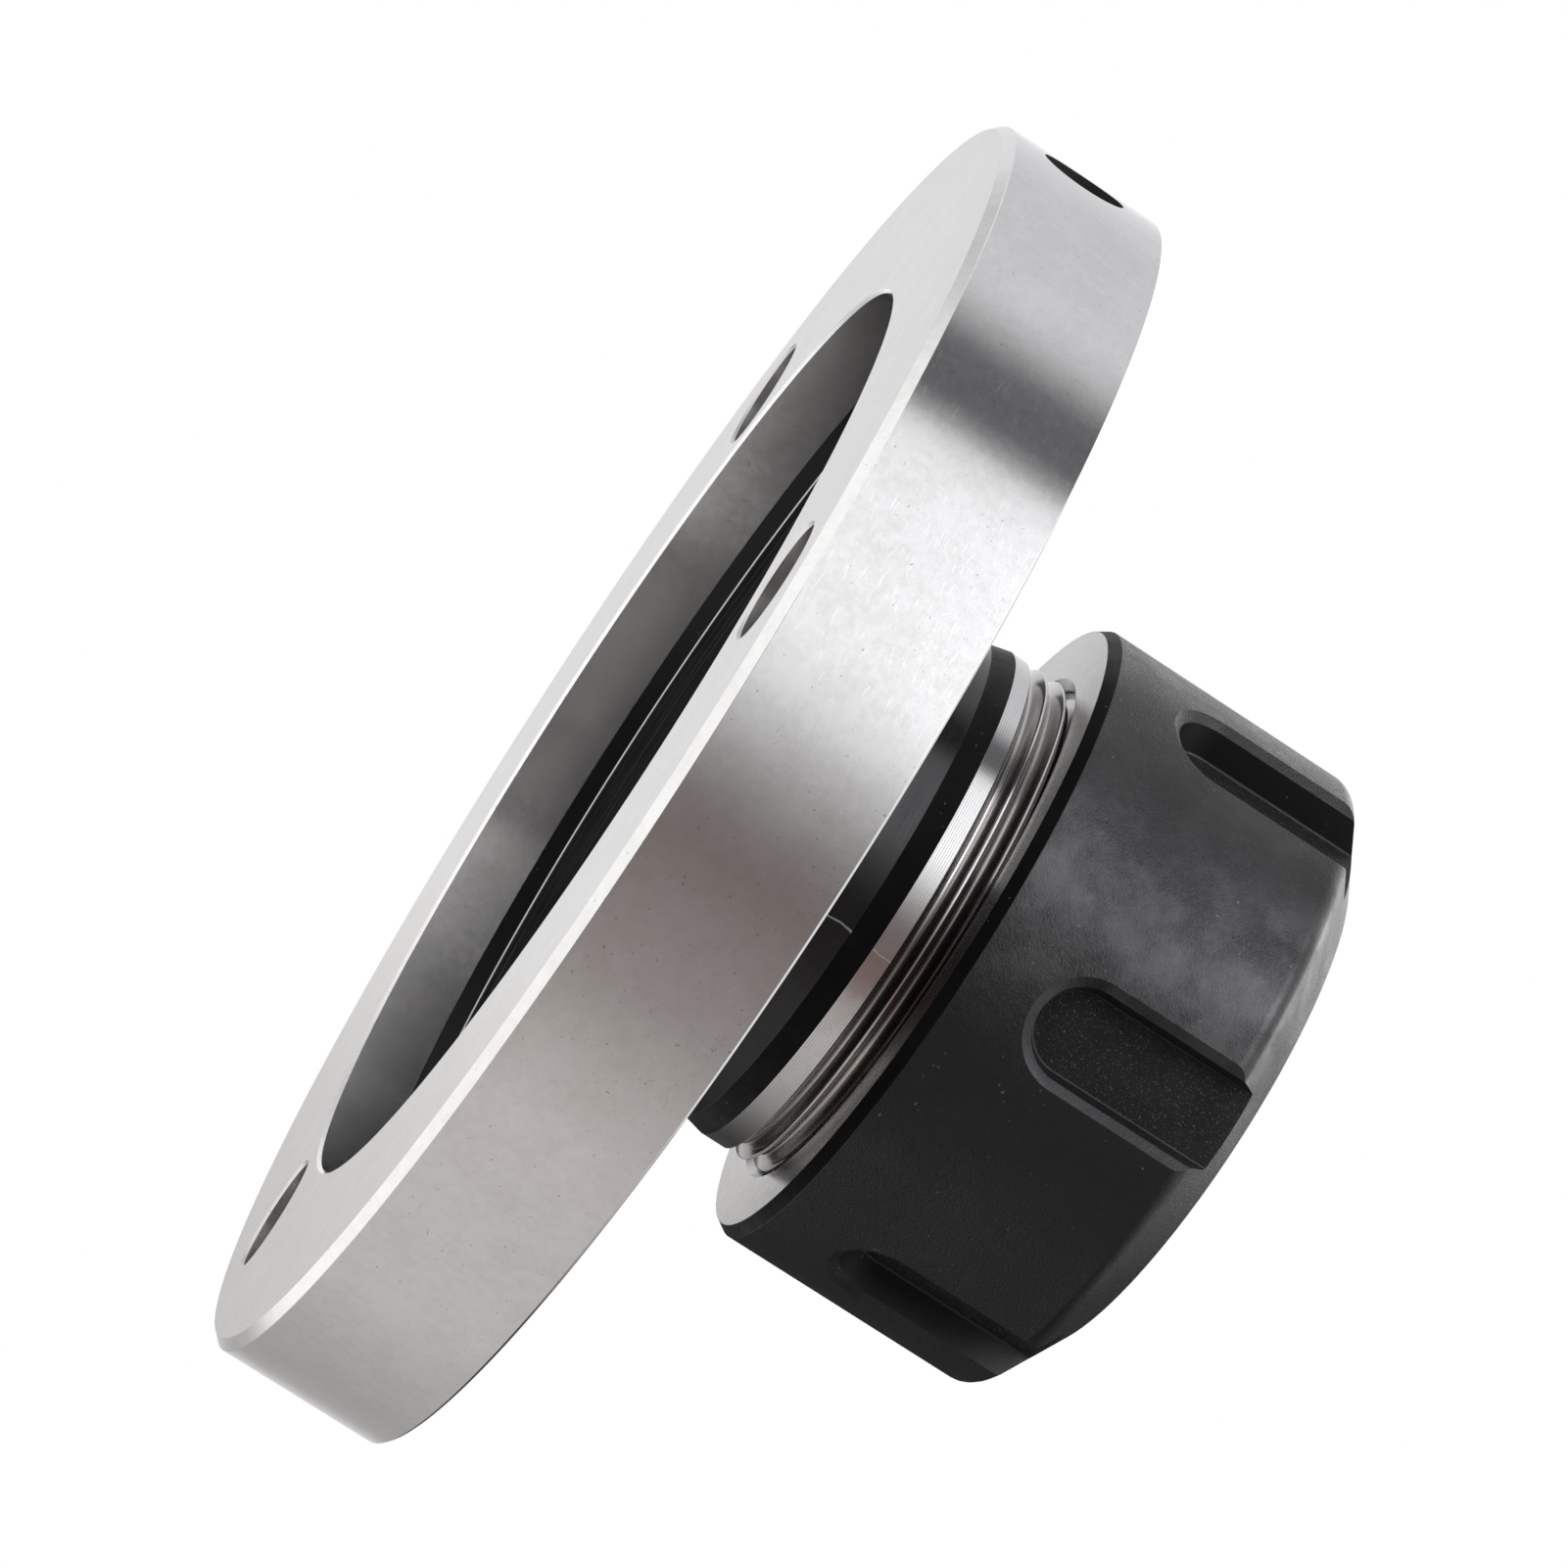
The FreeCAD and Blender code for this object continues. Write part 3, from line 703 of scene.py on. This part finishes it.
def makeNut():
    s = nutSizes
    outline = easeCorners([
        (s["bore"] + s["entryChamfer"], s["back"], 0.05),
        (s["backRadius"], s["back"], 0.06),
        (s["outer"], s["back"] + s["backChamfer"], 0.10),
        (s["outer"], s["bevelStart"], s["bevelRound"]),
        (s["frontRadius"], s["face"], 0.25),
        (s["seatAtFace"], s["face"], 0.06),
        (s["seatAtRing"], s["ringFront"], 0.0),
        (s["ringBlank"], s["ringFront"], 0.0),
        (s["ringBlank"], s["ringBack"], 0.0),
        (s["web"], s["ringBack"], 0.0),
        (s["web"], s["runoutEnd"], 0.1),
        (s["runout"], s["runoutEnd"], 0.2),
        (s["runout"], s["threadEnd"], 0.1),
        (s["bore"], s["threadEnd"], 0.0),
        (s["bore"], s["back"] + s["entryChamfer"], 0.0),
    ])
    nut = turnedMesh("clampingNut", [plainRow(point) for point in outline], s["columns"])
    ring = [[(s["ringBore"] * math.cos(a) + s["ringOffset"], s["ringBore"] * math.sin(a), height)
             for a in roundAngles(s["ringSides"])]
            for height in (s["ringBack"] - s["ringPast"], s["ringFront"] + s["ringPast"])]
    cutAway(nut, loftedMesh("ringCutter", ring))
    cutAway(nut, joinAll("slotCutters", turnedCopies(slotCutter(), s["slotCount"])))
    nut.data.transform(Matrix.Rotation(math.radians(s["turn"]), 4, "Z"))
    smoothFaces(nut)

    def choose(centre, normal):
        radius, height = math.hypot(centre.x, centre.y), centre.z
        if height < s["back"] + 0.03 and normal.z < -0.9:
            return "nutBack"
        if radius < s["runout"] + 0.1 and height < s["runoutEnd"] + 0.1:
            return "nutBore"
        if height < s["back"] + s["backChamfer"] - 0.1 and normal.z < -0.3:
            return "blackEdge"
        out = (normal.x * centre.x + normal.y * centre.y) / radius
        if radius < 22.4 and out > 0.95 and abs(normal.z) < 0.2:
            return "slotFloor"
        return "slotWall" if radius < 24.4 and abs(normal.z) + abs(out) < 0.98 else "nut"
    paintFaces(nut, choose)
    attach(nut, "nut")
    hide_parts("clamping_nut")
    return nut


clampingNut = makeNut()
print("clamping nut:", len(clampingNut.data.polygons), "faces")


# Collet: long taper, snap groove, front cone and slits from both ends
colletSizes = {
    "columns": 256, "tail": 9.4, "face": 49.4, "bore": 6.0, "boreChamfer": 0.4,
    "tailRadius": 11.886, "tailChamfer": 0.5, "gauge": 42.23, "gaugeRadius": 16.5,
    "grooveBack": 43.83, "grooveFront": 46.23, "groove": 13.9, "head": 15.0,
    "headBack": 46.63, "headFront": 13.4, "slit": 0.9, "slitCount": 8,
    "frontSlitEnd": 15.4, "tailSlitEnd": 38.4, "slitReach": 20.0, "slitPast": 2.0, "taper": 8.0,
}


def starOutline(height, count, half, reach, turn):  # arms of a slitting cutter
    inner = half / math.sin(math.pi / count)
    points = []
    for arm in range(count):
        a = 2 * math.pi * arm / count + turn
        across = Vector((-math.sin(a), math.cos(a))) * half
        tip = Vector((math.cos(a), math.sin(a))) * reach
        points += [(*(tip - across), height), (*(tip + across), height)]
        middle = a + math.pi / count
        points.append((inner * math.cos(middle), inner * math.sin(middle), height))
    return points


def makeCollet():
    s = colletSizes
    slope = math.tan(math.radians(s["taper"]))
    outline = easeCorners([
        (s["bore"] + s["boreChamfer"], s["tail"], 0.05),
        (s["tailRadius"] - s["tailChamfer"], s["tail"], 0.08),
        (s["tailRadius"] + s["tailChamfer"] * slope, s["tail"] + s["tailChamfer"], 0.08),
        (s["gaugeRadius"], s["gauge"], 0.15),
        (s["groove"], s["grooveBack"], 0.1),
        (s["groove"], s["grooveFront"], 0.1),
        (s["head"], s["grooveFront"], 0.05),
        (s["head"], s["headBack"], 0.05),
        (s["headFront"], s["face"], 0.08),
        (s["bore"] + s["boreChamfer"], s["face"], 0.05),
        (s["bore"], s["face"] - s["boreChamfer"], 0.05),
        (s["bore"], s["tail"] + s["boreChamfer"], 0.05),
    ])
    collet = turnedMesh("springCollet", [plainRow(point) for point in outline], s["columns"])
    half, count, reach = s["slit"] / 2, s["slitCount"], s["slitReach"]
    front = loftedMesh("frontSlits", [starOutline(z, count, half, reach, 0.0)
                                      for z in (s["frontSlitEnd"], s["face"] + s["slitPast"])])
    cutAway(collet, front)
    tail = loftedMesh("tailSlits", [starOutline(z, count, half, reach, math.pi / count)
                                    for z in (s["tail"] - s["slitPast"], s["tailSlitEnd"])])
    cutAway(collet, tail)
    smoothFaces(collet)
    paintFaces(collet, lambda centre, normal: "colletFace" if abs(normal.z) > 0.9 else "collet")
    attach(collet, "collet_group")
    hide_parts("collet")
    return collet


springCollet = makeCollet()
print("collet:", len(springCollet.data.polygons), "faces")


# Studio: soft light all round, brighter and darker by direction, over a pale floor
studioLook = {
    "floorHeight": -0.08, "floorReach": 8.0, "floorColour": 0.80, "floorLift": 0.45,
    "floorUnder": (0.18, 0.28), "whiteFrom": (0.5, 1.5),
    "underGlow": (1.45, 1.45, 1.45), "underDim": (0.80, 0.80, 0.81), "dimFrom": (0.02, 0.12),
    "dimToward": (0.45, -0.89),
    "ambient": 0.62, "overhead": (1.10, 1.10, 1.10),
    "highRise": (0.165, 0.28), "overheadRise": (0.60, 0.88),
    "glow": (  # direction round the axis in degrees, and the light from it near the horizon
        (-180, (0.73, 0.71, 0.70)), (-160, (0.58, 0.56, 0.55)), (-140, (0.46, 0.45, 0.44)),
        (-128, (0.46, 0.45, 0.45)), (-118, (0.66, 0.65, 0.65)), (-109, (0.86, 0.85, 0.84)),
        (-107, (1.06, 1.05, 1.05)), (-94, (0.98, 0.98, 1.00)), (-84, (0.86, 0.86, 0.88)),
        (-60, (0.77, 0.77, 0.80)), (-24, (0.86, 0.86, 0.90)), (-18, (0.66, 0.66, 0.68)),
        (-9, (0.15, 0.15, 0.16)), (2, (0.12, 0.12, 0.13)),
        (6, (0.45, 0.45, 0.46)), (9, (1.00, 1.00, 1.02)), (16, (1.12, 1.12, 1.14)),
        (48, (1.10, 1.10, 1.11)), (58, (0.95, 0.95, 0.96)), (70, (0.43, 0.42, 0.42)),
        (78, (0.26, 0.23, 0.23)), (85, (0.25, 0.21, 0.20)), (95, (0.33, 0.29, 0.28)),
        (108, (0.43, 0.39, 0.38)), (122, (0.62, 0.58, 0.56)), (136, (0.76, 0.72, 0.70)),
        (180, (0.73, 0.71, 0.70)),
    ),
    "highGlow": (  # the same well above and well below the horizon
        (-180, (0.04, 0.04, 0.04)), (-125, (0.06, 0.06, 0.06)), (-95, (1.70, 1.70, 1.72)),
        (-78, (3.10, 3.10, 3.13)), (-50, (1.60, 1.60, 1.62)), (-26, (1.20, 1.20, 1.22)),
        (-14, (0.45, 0.45, 0.46)), (4, (0.45, 0.45, 0.46)), (14, (4.50, 4.50, 4.85)),
        (48, (4.50, 4.50, 4.80)), (62, (1.10, 1.10, 1.10)), (84, (0.20, 0.18, 0.18)),
        (104, (0.12, 0.11, 0.11)), (150, (0.06, 0.06, 0.06)), (180, (0.04, 0.04, 0.04)),
    ),
    "lowGlow": (  # the same on the floor
        (-180, (1.30, 1.28, 1.26)), (-160, (1.10, 1.08, 1.07)), (-140, (0.60, 0.59, 0.58)),
        (-128, (0.46, 0.45, 0.45)), (-118, (0.62, 0.61, 0.61)), (-109, (0.80, 0.79, 0.78)),
        (-107, (1.04, 1.03, 1.03)), (-94, (1.00, 1.00, 1.02)), (-84, (0.92, 0.92, 0.94)),
        (-60, (1.00, 1.00, 1.03)), (-40, (1.35, 1.35, 1.37)), (0, (1.25, 1.25, 1.27)),
        (16, (1.45, 1.45, 1.47)), (42, (1.45, 1.45, 1.45)),
        (48, (0.10, 0.10, 0.11)),
        (84, (0.10, 0.08, 0.08)), (108, (0.20, 0.17, 0.16)), (124, (0.55, 0.52, 0.50)),
        (134, (1.40, 1.38, 1.36)), (180, (1.30, 1.28, 1.26)),
    ),
}


def studioGlow(paint, x, y, table="glow"):  # light by direction round the spindle axis
    turn = y.maths("ARCTAN2", x) / (2 * math.pi) + 0.5
    stops = [((angle + 180.0) / 360.0, colour) for angle, colour in studioLook[table]]
    return paint.node("ShaderNodeValToRGB", {"stops": stops}, {0: turn})


def makeStudio():
    look = studioLook
    world = bpy.data.worlds.new("studio")
    scene.world = world
    world.use_nodes = True
    paint = Paint(world.node_tree)
    glossy, camera, through = paint.rays("Is Glossy Ray", "Is Camera Ray", "Is Transmission Ray")
    x, y, z = paint.split(paint.node("ShaderNodeTexCoord", output="Generated"))
    glow = paint.mix(paint.ease(z, *look["highRise"]), studioGlow(paint, x, y),
                     studioGlow(paint, x, y, "highGlow"))
    glow = paint.mix(paint.ease(z, *look["overheadRise"]), glow, look["overhead"])
    light = paint.mix(glossy, (look["ambient"],) * 3, glow)
    light = paint.mix(camera.maths("MAXIMUM", through), light, (1.0, 1.0, 1.0))
    paint.node("ShaderNodeOutputWorld",
               values={0: paint.node("ShaderNodeBackground", values={0: light, 1: 1.0})})

    bm = bmesh.new()
    bmesh.ops.create_circle(bm, cap_ends=True, segments=96, radius=look["floorReach"],
                            matrix=Matrix.Translation((0, 0, look["floorHeight"])))
    floor = newObject("floor", bm)

    def build(paint):
        glossy, camera = paint.rays("Is Glossy Ray", "Is Camera Ray")
        x, y, z = paint.split(paint.place())
        out = (x * x + y * y) ** 0.5
        toward = x * look["dimToward"][0] + y * look["dimToward"][1]
        glow = paint.mix(paint.ease(toward, *look["dimFrom"]), look["underGlow"], look["underDim"])
        glow = paint.mix(paint.ease(out, *look["floorUnder"]), glow,
                         studioGlow(paint, x, y, "lowGlow"))
        glow = paint.mix(glossy, (0.0, 0.0, 0.0), glow)
        lift = paint.mix(paint.ease(out, *look["whiteFrom"]), (look["floorLift"],) * 3,
                         (1.0, 1.0, 1.0))
        return {
            "Base Color": paint.mix(glossy, (look["floorColour"],) * 3, (0.0, 0.0, 0.0)),
            "Roughness": 0.9,
            "Specular IOR Level": 0.0,
            "Emission Color": paint.mix(camera, glow, lift),
            "Emission Strength": 1.0,
        }
    floor.data.materials.append(newMaterial("pale_floor", build))


shadeCardLook = {
    "radius": 66.0, "low": 22.5, "high": 150.0, "from": 125.0, "full": 212.0, "to": 252.0,
    "steps": 24, "glow": (0.06, 0.06, 0.06),
}


def makeShadeCard():  # painted shade: a dark card beside the nut, seen only in reflections, standing in for the shadow that falls there
    look = shadeCardLook
    bm = bmesh.new()
    edges = []
    for step in range(look["steps"] + 1):
        turn = math.radians(look["from"] + (look["to"] - look["from"]) * step / look["steps"])
        edges.append([bm.verts.new(Vector((look["radius"] * math.cos(turn),
                                           look["radius"] * math.sin(turn), height)) * mm)
                      for height in (look["low"], look["high"])])
    for here, there in zip(edges, edges[1:]):
        bm.faces.new([here[0], there[0], there[1], here[1]])
    card = newObject("darkCard", bm)
    material = bpy.data.materials.new("dark_card")
    material.use_nodes = True
    paint = Paint(material.node_tree)
    x, y, z = paint.split(paint.place())
    turn = paint.angle(x * -1.0, y * -1.0) + 180.0
    fade = paint.ease(turn, look["from"], look["full"])
    glow = paint.node("ShaderNodeEmission", values={0: look["glow"], 1: 1.0})
    clear = paint.node("ShaderNodeBsdfTransparent")
    paint.node("ShaderNodeOutputMaterial",
               values={0: paint.node("ShaderNodeMixShader", values={0: fade, 1: clear, 2: glow})})
    card.data.materials.append(material)
    card.visible_camera = card.visible_diffuse = card.visible_shadow = False
    card.visible_transmission = card.visible_volume_scatter = False


lampLook = {"place": (0.62, 0.55, 0.75), "size": 0.7, "power": 6.0}


def makeLamp():  # soft shade on the floor and on dull black steel
    look = lampLook
    light = bpy.data.lights.new("keyLamp", "AREA")
    light.size = look["size"]
    light.energy = look["power"]
    lamp = bpy.data.objects.new("keyLamp", light)
    lamp.location = look["place"]
    lamp.rotation_euler = (-Vector(look["place"])).to_track_quat("-Z", "Y").to_euler()
    lamp.visible_glossy = False
    scene.collection.objects.link(lamp)


cameraLook = {
    "place": (0.088897, 0.402959, -0.043437), "turn": (-104.1207, -56.3541, -0.1108),
    "lens": 137.524, "sensor": 36.0, "clip": (0.01, 100.0),
}


def makeCamera():
    look = cameraLook
    data = bpy.data.cameras.new("photoCamera")
    data.lens = look["lens"]
    data.sensor_width = look["sensor"]
    data.clip_start, data.clip_end = look["clip"]
    camera = bpy.data.objects.new("photoCamera", data)
    camera.location = look["place"]
    camera.rotation_euler = Euler([math.radians(angle) for angle in look["turn"]])
    scene.collection.objects.link(camera)
    scene.camera = camera


makeStudio()
makeShadeCard()
makeLamp()
makeCamera()
scene.view_settings.view_transform = "Standard"
print("studio ready")
